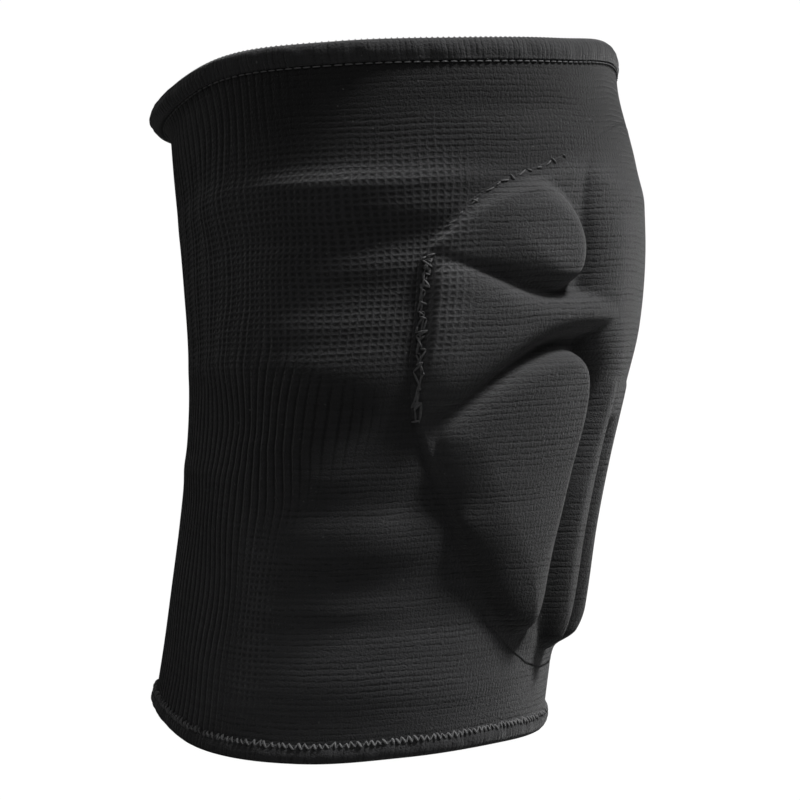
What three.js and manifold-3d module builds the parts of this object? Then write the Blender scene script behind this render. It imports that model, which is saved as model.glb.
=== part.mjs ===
// Volleyball knee pad: a knitted sleeve for the leg, with foam pads under a sewn cover over the knee.
// Millimetres. +Z runs up the leg, the kneecap faces -Y, and the origin is the middle of the knee,
// inside the leg's hollow. Angles run round the leg in degrees, from 0 at the front to 180 at the back,
// positive to the wearer's right, which is -X. A share runs up the front from 0 at the bottom rim to 1 at
// the top rim. A lift is a distance out from the leg's skin.
import * as THREE from 'three';
import Module from 'manifold-3d';

// Driving sizes
const SLEEVE_LENGTH = 200;
const KNEE_DEPTH = 124;
const KNEE_WIDTH = 120;
const SLEEVE_WALL = 2;
const COVER_WALL = 1.2;
const GAP = 0.3;
const FOAM_THICKNESS = 9.8;
const ARM_SHARE = 0.55;
const FOLD_RISE = 2.6;
const HEM_WALL = 1;
const HEM_ROLL = 1.6;
const HEM_SEAT = 3;
const TOP_HEM_HEIGHT = 7;
const BOTTOM_HEM_HEIGHT = 5.5;
const HEM_FLARE = 4.5;

// Squareness of the leg's sections, where 2 is a plain ellipse
const SQUARENESS = 2.15;

// Fineness of the faceted solids
const COLUMN_COUNT = 26;
const ROW_COUNT = 16;
const ROLL_STEPS = 4;

// Sections of the leg at even shares from the bottom rim to the top rim: reach to the front and to the
// back in knee depths, and to each side in knee widths
const SECTIONS = [
  { front: 0.326, back: 0.585, side: 0.450 },
  { front: 0.346, back: 0.561, side: 0.450 },
  { front: 0.363, back: 0.540, side: 0.454 },
  { front: 0.379, back: 0.519, side: 0.463 },
  { front: 0.403, back: 0.502, side: 0.475 },
  { front: 0.440, back: 0.492, side: 0.488 },
  { front: 0.480, back: 0.494, side: 0.500 },
  { front: 0.508, back: 0.505, side: 0.508 },
  { front: 0.524, back: 0.518, side: 0.513 },
  { front: 0.528, back: 0.532, side: 0.521 },
  { front: 0.498, back: 0.541, side: 0.533 },
];

// Height of both rims above the origin in sleeve lengths, every 30 degrees from the front to the back
const RIMS = [
  { top: 0.367, bottom: -0.643 },
  { top: 0.361, bottom: -0.642 },
  { top: 0.348, bottom: -0.650 },
  { top: 0.342, bottom: -0.660 },
  { top: 0.332, bottom: -0.650 },
  { top: 0.292, bottom: -0.613 },
  { top: 0.276, bottom: -0.602 },
];

// Soft folds on each side, as hills on the skin: where they lie, how far they spread, and their share of
// FOLD_RISE
const FOLDS = [
  { angle: 88, spread: 34, share: 0.765, reach: 0.045, rise: 0.80 },
  { angle: 92, spread: 30, share: 0.545, reach: 0.055, rise: 1.00 },
  { angle: 85, spread: 28, share: 0.400, reach: 0.035, rise: 0.40 },
  { angle: 70, spread: 26, share: 0.305, reach: 0.040, rise: 0.90 },
  { angle: 62, spread: 24, share: 0.120, reach: 0.050, rise: 0.50 },
];

// The top hem flares out at the back: the angles where that starts and is full, and the share where it
// starts
const FLARE = { from: 115, to: 165, start: 0.92 };

// Thickness of the foam in FOAM_THICKNESSes: at even shares up the front, and round the leg at even steps
const FOAM_UP = [0.38, 0.64, 0.79, 0.88, 0.98, 1.00, 0.92, 0.74, 0.47, 0.25, 0.20];
const FOAM_ROUND = [1.00, 0.99, 0.92, 0.76, 0.56, 0.33, 0.20];
const FOAM_ROUND_STEP = 15;

// Outlines round and up the leg, each point an angle and a share. The cover's and the band's run down one
// side, and the cover's grows by what it needs to close round the pads
const COVER_SIDE = [
  [0, 0.860], [15, 0.854], [29, 0.839], [42, 0.822], [54, 0.801], [63, 0.768], [70, 0.728], [72.5, 0.690],
  [72.5, 0.560], [69.5, 0.470], [58.5, 0.358], [48.7, 0.260], [39, 0.185], [27.5, 0.143], [13.5, 0.124],
  [0, 0.120],
];
const BAND_SIDE = [
  [0, 0.855], [12, 0.850], [21, 0.836], [27, 0.800], [27.5, 0.760], [26.5, 0.720], [26, 0.660], [25, 0.600],
  [20, 0.560], [15, 0.520], [13, 0.480], [11, 0.440], [6, 0.425], [0, 0.422],
];
const ARM = [
  [10, 0.648], [24, 0.636], [36, 0.633], [44, 0.641], [52, 0.659], [60, 0.680], [66.5, 0.689], [70.5, 0.662],
  [71, 0.600], [70, 0.540], [67, 0.494], [61, 0.488], [55, 0.508], [48, 0.538], [41, 0.563], [34, 0.580],
  [24, 0.584], [10, 0.570],
];
const SHIN_LEG = [
  [1.5, 0.530], [11.5, 0.530], [13, 0.480], [13.8, 0.438], [16.5, 0.398], [18.3, 0.357], [19.5, 0.300],
  [20.5, 0.245], [20.5, 0.185], [18, 0.145], [12, 0.134], [6.5, 0.150], [4.2, 0.200], [3.4, 0.260],
  [2.8, 0.340], [2.4, 0.420],
];
const UPPER_SIDE = [
  [29.5, 0.700], [31, 0.665], [38, 0.647], [47, 0.659], [57, 0.684], [65, 0.698], [69.5, 0.712], [70, 0.732],
  [66, 0.756], [59, 0.783], [53, 0.800], [47, 0.803], [41, 0.788], [35, 0.758], [31, 0.728],
];
const LOWER_SIDE = [
  [25.5, 0.562], [20.5, 0.538], [18, 0.495], [18, 0.450], [20.5, 0.400], [23, 0.330], [24, 0.260],
  [24.5, 0.205], [26.5, 0.174], [31, 0.162], [36, 0.177], [42, 0.217], [48, 0.264], [53, 0.310], [57, 0.370],
  [61, 0.420], [61.5, 0.458], [56, 0.486], [48, 0.520], [40, 0.548], [32, 0.566],
];

// Radius of each foam form's rounded edge, in degrees round the leg
const BAND_RADIUS = 5.6;
const ARM_RADIUS = 3.8;
const LEG_RADIUS = 4.7;
const UPPER_RADIUS = 4.1;
const LOWER_RADIUS = 5.6;

// How far the cutting bodies run past the surfaces that they cut, and past the rims as a share
const OVERRUN = 14;
const RIM_OVERRUN = 0.04;

const wasm = await Module();
wasm.setup();

const SECTION_CURVE = tableCurve(SECTIONS.map((row) => [row.front, row.back, row.side]));
const ROUND_RIMS = [...RIMS, ...RIMS.slice(1, -1).reverse()];
const RIM_CURVE = tableCurve(ROUND_RIMS.map((row) => [row.top, row.bottom, 0]), true);
const FOAM_UP_CURVE = tableCurve(FOAM_UP.map((thickness) => [thickness, 0, 0]));
const FOAM_ROUND_CURVE = tableCurve(FOAM_ROUND.map((thickness) => [thickness, 0, 0]));

// Length along the skin of one degree round the knee
const ARC_PER_DEGREE = THREE.MathUtils.degToRad((KNEE_WIDTH + KNEE_DEPTH) / 4);

// A curve through evenly spaced rows of a table, closed where the table goes once round the leg
function tableCurve(rows, closed = false) {
  return new THREE.CatmullRomCurve3(rows.map((row) => new THREE.Vector3(...row)), closed, 'catmullrom', 0.5);
}

function signedPower(value, power) {
  return Math.sign(value) * Math.abs(value) ** power;
}

// How far the side folds and the hem's flare at the back push the skin out
function skinRise(angle, share) {
  const round = Math.abs(angle);
  let rise = 0;
  for (const fold of FOLDS) {
    const across = (round - fold.angle) / fold.spread;
    const along = (share - fold.share) / fold.reach;
    rise += FOLD_RISE * fold.rise * Math.exp(-across * across - along * along);
  }
  const flareRound = THREE.MathUtils.smoothstep(round, FLARE.from, FLARE.to);
  const flareUp = THREE.MathUtils.smoothstep(share, FLARE.start, 1);
  return rise + HEM_FLARE * flareRound * flareUp;
}

// The point at an angle and a share, at a lift from the leg's skin: a squared ellipse at each height
function skinPoint(angle, share, lift) {
  const within = THREE.MathUtils.clamp(share, 0, 1);
  const section = SECTION_CURVE.getPoint(within);
  const rims = RIM_CURVE.getPoint(Math.abs(angle) / 360);
  const sine = Math.sin(THREE.MathUtils.degToRad(angle));
  const cosine = Math.cos(THREE.MathUtils.degToRad(angle));
  const halfWidth = section.z * KNEE_WIDTH;
  const halfDepth = (section.x + section.y) / 2 * KNEE_DEPTH;
  const middle = (section.x - section.y) / 2 * KNEE_DEPTH;
  const normal = new THREE.Vector2(
    signedPower(sine, 2 - 2 / SQUARENESS) / halfWidth,
    signedPower(cosine, 2 - 2 / SQUARENESS) / halfDepth,
  ).normalize();
  const out = lift + skinRise(angle, within);
  const right = halfWidth * signedPower(sine, 2 / SQUARENESS) + out * normal.x;
  const forward = middle + halfDepth * signedPower(cosine, 2 / SQUARENESS) + out * normal.y;
  const height = SLEEVE_LENGTH * THREE.MathUtils.lerp(rims.y, rims.x, share);
  return new THREE.Vector3(-right, -forward, height);
}

// Lift of the foam's top where it is full, or has the share of its thickness that an arm has
function foamTop(angle, share, portion) {
  const last = (FOAM_ROUND.length - 1) * FOAM_ROUND_STEP;
  const up = FOAM_UP_CURVE.getPoint(THREE.MathUtils.clamp(share, 0, 1)).x;
  const round = FOAM_ROUND_CURVE.getPoint(Math.min(Math.abs(angle) / last, 1)).x;
  return SLEEVE_WALL + GAP + FOAM_THICKNESS * portion * up * round;
}

// Closed body from rings of points. Each ring runs counterclockwise seen from the end tip
function cappedLoft(rings, startTip, endTip) {
  const count = rings[0].length;
  const points = [...rings.flat(), startTip, endTip];
  const startIndex = points.length - 2;
  const endIndex = points.length - 1;
  const lastRing = (rings.length - 1) * count;
  const faces = [];
  for (let i = 0; i < count; i += 1) {
    const next = (i + 1) % count;
    for (let base = 0; base < lastRing; base += count) {
      faces.push([base + i, base + next, base + count + next]);
      faces.push([base + i, base + count + next, base + count + i]);
    }
    faces.push([startIndex, next, i]);
    faces.push([endIndex, lastRing + i, lastRing + next]);
  }
  return indexedGeometry(points, faces);
}

// Closed ring round the leg from one section loop for each column, up its outer side and down its inner side
function ringLoft(sections) {
  const count = sections[0].length;
  const faces = [];
  for (let k = 0; k < sections.length; k += 1) {
    const here = k * count;
    const there = ((k + 1) % sections.length) * count;
    for (let i = 0; i < count; i += 1) {
      const next = (i + 1) % count;
      faces.push([here + i, there + i, there + next]);
      faces.push([here + i, there + next, here + next]);
    }
  }
  return indexedGeometry(sections.flat(), faces);
}

function indexedGeometry(points, faces) {
  const geometry = new THREE.BufferGeometry().setFromPoints(points);
  geometry.setIndex(faces.flat());
  return geometry;
}

function toSolid(geometry) {
  const vertProperties = new Float32Array(geometry.attributes.position.array);
  const triVerts = new Uint32Array(geometry.index.array);
  return new wasm.Manifold(new wasm.Mesh({ numProp: 3, vertProperties, triVerts }));
}

function toGeometry(solid) {
  const mesh = solid.getMesh();
  const geometry = new THREE.BufferGeometry();
  geometry.setAttribute('position', new THREE.BufferAttribute(new Float32Array(mesh.vertProperties), 3));
  geometry.setIndex(new THREE.BufferAttribute(new Uint32Array(mesh.triVerts), 1));
  return geometry;
}

// Angles of the columns, counterclockwise seen from above
function columnAngles() {
  const angles = [];
  for (let k = 0; k < COLUMN_COUNT; k += 1) {
    angles.push(180 - k * (360 / COLUMN_COUNT));
  }
  return angles;
}

// Solid body of everything up to a lift, which may vary, on the same columns and rows as the sleeve
function bodyUpTo(liftAt) {
  const rings = [];
  for (let row = 0; row <= ROW_COUNT; row += 1) {
    const reach = row === 0 ? -RIM_OVERRUN : row === ROW_COUNT ? RIM_OVERRUN : 0;
    const share = row / ROW_COUNT + reach;
    rings.push(columnAngles().map((angle) => skinPoint(angle, share, liftAt(angle, share))));
  }
  const bottomTip = new THREE.Vector3(0, 0, Math.min(...rings[0].map((point) => point.z)));
  const topTip = new THREE.Vector3(0, 0, Math.max(...rings.at(-1).map((point) => point.z)));
  return toSolid(cappedLoft(rings, bottomTip, topTip));
}

// A closed outline from a half that runs from the top middle to the bottom middle
function mirrored(half) {
  const otherSide = half.slice(1, -1).reverse().map(([angle, share]) => [-angle, share]);
  return [...half, ...otherSide];
}

// Outline in millimetres along the skin, clockwise in its own plane, shifted outward by grow
function skinOutline(table, side, grow) {
  const points = table.map(([angle, share]) => (
    new THREE.Vector2(side * angle * ARC_PER_DEGREE, share * SLEEVE_LENGTH)));
  if (!THREE.ShapeUtils.isClockWise(points)) {
    points.reverse();
  }
  return points.map((point, i) => {
    const before = points.at(i - 1);
    const after = points[(i + 1) % points.length];
    const along = after.clone().sub(before).normalize();
    return new THREE.Vector2(point.x - grow * along.y, point.y + grow * along.x);
  });
}

function outlineRing(outline, liftAt) {
  return outline.map(({ x, y }) => {
    const angle = x / ARC_PER_DEGREE;
    const share = y / SLEEVE_LENGTH;
    return skinPoint(angle, share, liftAt(angle, share));
  });
}

function outlineMiddle(outline) {
  const sum = outline.reduce((total, point) => total.add(point), new THREE.Vector2());
  return sum.divideScalar(outline.length);
}

// Column through the skin with a pad's outline, its top edge rounded towards the level and open above it
function padColumn(table, side, edgeRadius, levelAt, { grow, steps }) {
  const radius = edgeRadius * ARC_PER_DEGREE + grow;
  const rings = [];
  const outline = (inset) => skinOutline(table, side, grow - inset);
  rings.push(outlineRing(outline(0), () => -OVERRUN / 2));
  for (let step = 0; step < steps; step += 1) {
    const turn = step / steps * Math.PI / 2;
    const inset = radius * (1 - Math.cos(turn));
    rings.push(outlineRing(outline(inset), (angle, share) => (
      Math.max(levelAt(angle, share) - radius * (1 - Math.sin(turn)), 0))));
  }
  rings.push(outlineRing(outline(radius), (angle, share) => levelAt(angle, share)));
  rings.push(outlineRing(outline(radius), (angle, share) => levelAt(angle, share) + OVERRUN));
  const middle = outlineMiddle(outline(0));
  const angle = middle.x / ARC_PER_DEGREE;
  const share = middle.y / SLEEVE_LENGTH;
  const startTip = skinPoint(angle, share, -OVERRUN);
  const endTip = skinPoint(angle, share, levelAt(angle, share) + 2 * OVERRUN);
  return toSolid(cappedLoft(rings, startTip, endTip));
}

// A pad's own surface, its pocket in the cover and the cover's outside: how far each lies from the foam, and
// the steps of its rounded edge
const FOAM = { grow: 0, steps: 1 };
const POCKET = { grow: GAP, steps: 1 };
const OUTSIDE = { grow: GAP + COVER_WALL, steps: 2 };

function levelOf(shell, portion = 1) {
  return (angle, share) => foamTop(angle, share, portion) + shell.grow;
}

// The kneecap pad: a tall band with two shin legs, and a thinner arm to each side
function kneecapBody(shell) {
  const full = levelOf(shell);
  const thin = levelOf(shell, ARM_SHARE);
  let band = padColumn(mirrored(BAND_SIDE), 1, BAND_RADIUS, full, shell);
  for (const { sign } of SIDES) {
    band = band.add(padColumn(SHIN_LEG, sign, LEG_RADIUS, full, shell));
  }
  const arms = SIDES.map(({ sign }) => padColumn(ARM, sign, ARM_RADIUS, thin, shell));
  const thinBody = arms[0].add(arms[1]).intersect(bodyUpTo(thin));
  return band.intersect(bodyUpTo(full)).add(thinBody);
}

function sidePadBody({ table, radius }, sign, shell) {
  const full = levelOf(shell);
  return padColumn(table, sign, radius, full, shell).intersect(bodyUpTo(full));
}

const SIDES = [{ name: 'right', sign: 1 }, { name: 'left', sign: -1 }];
const SIDE_PADS = [
  { name: 'upper_side_pad', table: UPPER_SIDE, radius: UPPER_RADIUS },
  { name: 'lower_side_pad', table: LOWER_SIDE, radius: LOWER_RADIUS },
];

const knitMaterial = new THREE.MeshStandardMaterial({ color: 0x1f2023, roughness: 0.95, metalness: 0 });
const coverMaterial = new THREE.MeshStandardMaterial({ color: 0x25262a, roughness: 0.9, metalness: 0 });
const hemMaterial = new THREE.MeshStandardMaterial({ color: 0x18181b, roughness: 0.9, metalness: 0 });
const foamMaterial = new THREE.MeshStandardMaterial({ color: 0x2c2c2f, roughness: 0.85, metalness: 0 });

function addMesh(group, name, geometry, material) {
  geometry.computeVertexNormals();
  const mesh = new THREE.Mesh(geometry, material);
  mesh.name = name;
  group.add(mesh);
}

// Knitted tube, its ends seated in the slots of the hems
function sleeveGeometry() {
  const end = (HEM_SEAT + GAP) / SLEEVE_LENGTH;
  const shares = [end, BOTTOM_HEM_HEIGHT / SLEEVE_LENGTH];
  for (let row = 1; row < ROW_COUNT; row += 1) {
    shares.push(row / ROW_COUNT);
  }
  shares.push(1 - TOP_HEM_HEIGHT / SLEEVE_LENGTH, 1 - end);
  const sections = columnAngles().map((angle) => [
    ...shares.map((share) => skinPoint(angle, share, SLEEVE_WALL)),
    ...shares.map((share) => skinPoint(angle, share, 0)).reverse(),
  ]);
  return ringLoft(sections);
}

// Rolled hem as a folded band with a slot for the sleeve's end. Depths run from the rim along the sleeve
function hemGeometry(height, shareAt) {
  const slotOut = SLEEVE_WALL + GAP;
  const slotIn = -GAP;
  const middle = (slotOut + slotIn) / 2;
  const halfThickness = slotOut + HEM_WALL - middle;
  const profile = [[middle + halfThickness, height]];
  for (let step = 0; step <= ROLL_STEPS; step += 1) {
    const turn = step / ROLL_STEPS * Math.PI;
    profile.push([middle + halfThickness * Math.cos(turn), HEM_ROLL * (1 - Math.sin(turn))]);
  }
  profile.push([middle - halfThickness, height], [slotIn, height], [slotIn, HEM_SEAT]);
  profile.push([slotOut, HEM_SEAT], [slotOut, height]);
  if (shareAt(height) > shareAt(0)) {
    profile.reverse();
  }
  return ringLoft(columnAngles().map((angle) => (
    profile.map(([lift, depth]) => skinPoint(angle, shareAt(depth), lift)))));
}

// Sewn panel drawn over the pads, with a pocket over each one that is open to the sleeve
function coverGeometry() {
  const rim = skinOutline(mirrored(COVER_SIDE), 1, OUTSIDE.grow);
  const rings = [-OVERRUN / 2, 2 * OVERRUN].map((lift) => outlineRing(rim, () => lift));
  const behind = new THREE.Vector3(0, 0, 0);
  const inFront = new THREE.Vector3(0, -3 * KNEE_DEPTH, 0);
  const panel = toSolid(cappedLoft(rings, behind, inFront));
  let cover = bodyUpTo(() => SLEEVE_WALL + GAP + COVER_WALL).intersect(panel);
  cover = cover.add(kneecapBody(OUTSIDE));
  let pockets = kneecapBody(POCKET);
  for (const { sign } of SIDES) {
    for (const pad of SIDE_PADS) {
      cover = cover.add(sidePadBody(pad, sign, OUTSIDE));
      pockets = pockets.add(sidePadBody(pad, sign, POCKET));
    }
  }
  return toGeometry(cover.subtract(pockets).subtract(sleeveSpace));
}

function foamGeometry(body) {
  return toGeometry(body.subtract(sleeveSpace));
}

// Room that the leg and the sleeve take, with the gap to what lies on the sleeve
const sleeveSpace = bodyUpTo(() => SLEEVE_WALL + GAP);

const kneePad = new THREE.Group();
addMesh(kneePad, 'sleeve', sleeveGeometry(), knitMaterial);
addMesh(kneePad, 'front_cover', coverGeometry(), coverMaterial);
addMesh(kneePad, 'kneecap_pad', foamGeometry(kneecapBody(FOAM)), foamMaterial);
for (const side of SIDES) {
  for (const pad of SIDE_PADS) {
    const geometry = foamGeometry(sidePadBody(pad, side.sign, FOAM));
    addMesh(kneePad, `${pad.name}_${side.name}`, geometry, foamMaterial);
  }
}
const topHem = hemGeometry(TOP_HEM_HEIGHT, (depth) => 1 - depth / SLEEVE_LENGTH);
const bottomHem = hemGeometry(BOTTOM_HEM_HEIGHT, (depth) => depth / SLEEVE_LENGTH);
addMesh(kneePad, 'top_hem', topHem, hemMaterial);
addMesh(kneePad, 'bottom_hem', bottomHem, hemMaterial);

export default kneePad;
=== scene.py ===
"""Volleyball knee pad: a knitted sleeve with rolled hems, and a front cover drawn over foam pads.

Places on the knit are an angle round the leg, in degrees from 0 at the front to 180 at the back and
positive to the wearer's right, and a share from 0 at the bottom rim to 1 at the top rim. A lift is a
distance out from the leg's skin. Lengths are in metres.
"""

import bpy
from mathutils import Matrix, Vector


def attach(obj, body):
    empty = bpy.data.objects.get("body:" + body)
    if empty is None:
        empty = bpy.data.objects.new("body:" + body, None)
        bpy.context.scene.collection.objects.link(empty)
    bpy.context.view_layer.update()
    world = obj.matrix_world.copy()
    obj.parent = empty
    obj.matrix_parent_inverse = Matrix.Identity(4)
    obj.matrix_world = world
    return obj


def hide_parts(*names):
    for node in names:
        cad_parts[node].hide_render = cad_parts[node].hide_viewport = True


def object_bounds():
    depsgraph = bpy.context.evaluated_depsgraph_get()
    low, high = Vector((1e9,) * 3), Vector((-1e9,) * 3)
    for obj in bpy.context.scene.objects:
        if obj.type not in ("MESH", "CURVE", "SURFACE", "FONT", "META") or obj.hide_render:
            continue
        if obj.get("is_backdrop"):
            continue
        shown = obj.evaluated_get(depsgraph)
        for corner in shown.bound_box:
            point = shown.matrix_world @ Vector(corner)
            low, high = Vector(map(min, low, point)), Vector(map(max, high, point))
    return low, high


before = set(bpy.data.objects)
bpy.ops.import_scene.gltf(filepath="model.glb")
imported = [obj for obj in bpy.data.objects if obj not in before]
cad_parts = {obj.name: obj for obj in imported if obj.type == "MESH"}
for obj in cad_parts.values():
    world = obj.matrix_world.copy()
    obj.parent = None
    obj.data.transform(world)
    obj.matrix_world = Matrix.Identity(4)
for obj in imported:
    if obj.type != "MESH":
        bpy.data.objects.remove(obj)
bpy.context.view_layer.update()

import math
from collections import namedtuple
from functools import lru_cache, reduce

import bpy
import numpy as np
from mathutils import Vector

bl_info = {
    "name": "Volleyball Knee Pad",
    "version": (1, 0, 0),
    "blender": (4, 5, 0),
    "location": "3D View > Sidebar > Knee Pad",
    "description": "Builds the knitted sleeve, the front cover, the foam pads, the hems and the stitches",
    "category": "Add Mesh",
}

MM = 0.001
GAP = 0.3 * MM

# Squareness of the leg's sections, where 2 is a plain ellipse
SQUARENESS = 2.15

# Sections of the leg at even shares: reach to the front and to the back in knee depths, to each side in knee
# widths
SECTIONS = [
    (0.326, 0.585, 0.450), (0.346, 0.561, 0.450), (0.363, 0.540, 0.454), (0.379, 0.519, 0.463),
    (0.403, 0.502, 0.475), (0.440, 0.492, 0.488), (0.480, 0.494, 0.500), (0.508, 0.505, 0.508),
    (0.524, 0.518, 0.513), (0.528, 0.532, 0.521), (0.498, 0.541, 0.533),
]

# Heights of the top and bottom rims in sleeve lengths, at even angles from the front to the back
RIMS = [
    (0.375, -0.643), (0.358, -0.642), (0.346, -0.650), (0.341, -0.660), (0.332, -0.650), (0.292, -0.613),
    (0.276, -0.602),
]

# Soft folds on each side: angle, spread in degrees, share, reach in shares, and share of the fold height
FOLDS = [
    (88, 34, 0.782, 0.036, 0.85), (92, 30, 0.545, 0.055, 1.00), (85, 28, 0.400, 0.035, 0.40),
    (70, 26, 0.305, 0.040, 0.90), (62, 24, 0.120, 0.050, 0.50), (0, 44, 0.845, 0.042, 0.70),
    (0, 44, 0.935, 0.030, -0.30), (40, 26, 0.905, 0.020, -0.42), (88, 36, 0.807, 0.014, 0.62),
    (84, 30, 0.732, 0.022, -0.40), (96, 30, 0.610, 0.020, 0.30), (76, 22, 0.690, 0.014, 0.22),
    (58, 16, 0.050, 0.030, 0.25), (104, 22, 0.440, 0.018, 0.25), (72, 24, 0.330, 0.016, 0.22),
    (80, 18, 0.215, 0.018, 0.28), (58, 22, 0.160, 0.016, 0.18), (45, 20, 0.085, 0.018, 0.18),
    (72, 32, 0.105, 0.048, 0.40), (125, 26, 0.560, 0.020, 0.22), (130, 22, 0.790, 0.018, 0.16),
    (140, 30, 0.400, 0.022, 0.20),
]

# Thickness of the foam in full thicknesses, at even shares and round the leg every few degrees
FOAM_UP = [0.38, 0.64, 0.79, 0.88, 0.98, 1.00, 0.92, 0.74, 0.47, 0.25, 0.20]
FOAM_ROUND = [1.00, 0.99, 0.92, 0.76, 0.56, 0.33, 0.20]
FOAM_ROUND_STEP = 15

# Outlines as an angle and a share. The cover's top and bottom edges run from the front to its side seam
COVER_SIDE = 72.5
COVER_TOP = [
    (0, 0.884), (10, 0.878), (20, 0.864), (29, 0.846), (42, 0.822), (54, 0.801), (63, 0.768), (70, 0.728),
    (COVER_SIDE, 0.690),
]
COVER_BOTTOM = [
    (0, 0.098), (9, 0.099), (18, 0.110), (28, 0.136), (39, 0.180), (48.7, 0.260), (58.5, 0.358),
    (69.5, 0.470), (COVER_SIDE, 0.560),
]
BAND = [
    (0, 0.886), (12, 0.880), (21, 0.860), (26, 0.818), (26, 0.760), (25, 0.720), (24.5, 0.660), (24, 0.600),
    (20, 0.560), (15, 0.520), (13, 0.480), (11, 0.440), (6, 0.425), (0, 0.422), (-6, 0.425), (-11, 0.440),
    (-13, 0.480), (-15, 0.520), (-20, 0.560), (-24, 0.600), (-24.5, 0.660), (-25, 0.720), (-26, 0.760),
    (-26, 0.818), (-21, 0.860), (-12, 0.880),
]
ARM = [
    (10, 0.650), (24, 0.642), (36, 0.640), (44, 0.648), (52, 0.666), (60, 0.684), (66.5, 0.691),
    (70.5, 0.664), (71, 0.600), (70, 0.540), (67, 0.494), (61, 0.488), (55, 0.508), (48, 0.538),
    (41, 0.563), (34, 0.580), (24, 0.584), (10, 0.570),
]
SHIN_LEG = [
    (1.5, 0.530), (11.5, 0.530), (12.5, 0.480), (13, 0.438), (14.2, 0.398), (15, 0.357), (15.5, 0.300),
    (15.8, 0.245), (15.5, 0.185), (13.8, 0.142), (9.8, 0.118), (5.8, 0.138), (4.2, 0.200), (3.4, 0.260),
    (2.8, 0.340), (2.4, 0.420),
]
UPPER_SIDE = [
    (26.6, 0.700), (28, 0.664), (35, 0.643), (46, 0.656), (57, 0.685), (65, 0.700), (70, 0.714),
    (70.5, 0.734), (66, 0.758), (59, 0.785), (53, 0.802), (46, 0.806), (39, 0.793), (32, 0.765), (28, 0.733),
]
LOWER_SIDE = [
    (25.5, 0.562), (19.5, 0.538), (17, 0.495), (16.5, 0.450), (17.5, 0.400), (18.6, 0.330), (19, 0.260),
    (18.8, 0.205), (20.5, 0.170), (25, 0.154), (31, 0.168), (38.5, 0.210), (46, 0.262), (52.5, 0.310),
    (57, 0.370), (61, 0.420), (61.5, 0.458), (56, 0.486), (48, 0.520), (40, 0.548), (32, 0.566),
]

# Each foam form: outline, width of its firm edge and of its soft edge, and the two places between which the
# firm edge turns soft
Lobe = namedtuple("Lobe", "outline firm soft start end")
BAND_LOBE = Lobe(BAND, 12 * MM, 30 * MM, (0, 0.72), (0, 0.85))
ARM_LOBE = Lobe(ARM, 7 * MM, 14 * MM, (56, 0.66), (66, 0.50))
LEG_LOBE = Lobe(SHIN_LEG, 5 * MM, 9 * MM, (10, 0.19), (10, 0.13))
UPPER_LOBE = Lobe(UPPER_SIDE, 5.5 * MM, 24 * MM, (40, 0.750), (58, 0.690))
LOWER_LOBE = Lobe(LOWER_SIDE, 5.5 * MM, 17 * MM, (30, 0.42), (52, 0.34))
KNEECAP_LOBES = (BAND_LOBE, ARM_LOBE, LEG_LOBE)
SIDE_LOBES = (("upper_side_pad", UPPER_LOBE), ("lower_side_pad", LOWER_LOBE))

# The side seam from its top to its bottom, and the stitches that tack the cover's top edge to the sleeve
SIDE_SEAM = [(70, 0.702), (70.5, 0.634), (70, 0.566), (68.5, 0.471)]
TOP_TACKS = [
    (34, 0.835), (38, 0.827), (42, 0.819), (46, 0.814), (50, 0.806), (54, 0.797), (58, 0.781), (62, 0.764),
    (66, 0.740),
]

# The cover's relief is worked out on an even grid over one half of the front
RELIEF_ANGLES = np.linspace(0, 80, 321)
RELIEF_SHARES = np.linspace(0.08, 0.90, 411)
RELIEF_CELL = 0.4 * MM
BRIDGE_SPREAD = 0.9 * MM
CREASE_SPREAD = 0.4 * MM

# Towards its edges the cover tapers to a thin lip. At the front the taper is longer by these shares of itself
EDGE_TAPER = 6 * MM
LONGER_BELOW = 0.5
LONGER_ABOVE = 2.6
LIP_OUTSIDE = 0.12 * MM
LIP_INSIDE = 0.04 * MM
COVER_COLUMNS, COVER_ROWS = 233, 209

# The foam's grid in degrees and shares, its least thickness, and its room under the cover
PAD_STEP = 0.8
PAD_SHARES = np.linspace(0.10, 0.88, 196)
PAD_THIN = 0.25 * MM
PAD_ROOM = 0.1 * MM

# The sleeve: depth of the groove between two ribs, its reach in rib pitches, how far the ribs wander in
# degrees, and the rows of its outside and inside
RIB_DEPTH = 0.32 * MM
RIB_GROOVE = 0.17
RIB_WANDER = 1.1
OUTSIDE_ROWS, INSIDE_ROWS = 136, 24

# The hems: how deep the sleeve's end sits, the wall, roll and lip of the section, the power of its
# superellipse, how far it closes onto the sleeve outside and inside, its steps from the rim to the stitched
# edge, its columns over half the leg, and its tucks as height in millimetres, waves and phase
HEM_SEAT = 3 * MM
HEM_WALL = 1 * MM
HEM_ROLL = 2.6 * MM
HEM_LIP = 2.2 * MM
HEM_POWER = 2.3
HEM_CLOSE_OUT = 0.72 * MM
HEM_CLOSE_IN = 0.40 * MM
HEM_STEPS = 18
HEM_HALF_COLUMNS = 241
TUCKS = [(0.10, 67, 0), (0.14, 23, 40), (0.10, 41, 0)]

# The knit: distance between courses and between wales, the open cells' width and height in millimetres, the
# depth of the relief, and the painted light and shade of the sleeve and the cover towards the rims
COURSE, WALE = 1.65, 1.25
HEM_COURSE, HEM_WALE, HEM_RIB = 1.5, 1.2, 2.6
CELL_WIDE, CELL_HIGH = 1.95, 1.75
KNIT_DEPTH = 0.32 * MM
HEM_KNIT_DEPTH = 0.26 * MM
# Painted light and shade: the sleeve is lighter towards its bottom rim and darker near its top rim, the cover
# the other way round
SLEEVE_RIM_SHADE = 0.7
COVER_RIM_SHADE = -0.64

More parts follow.
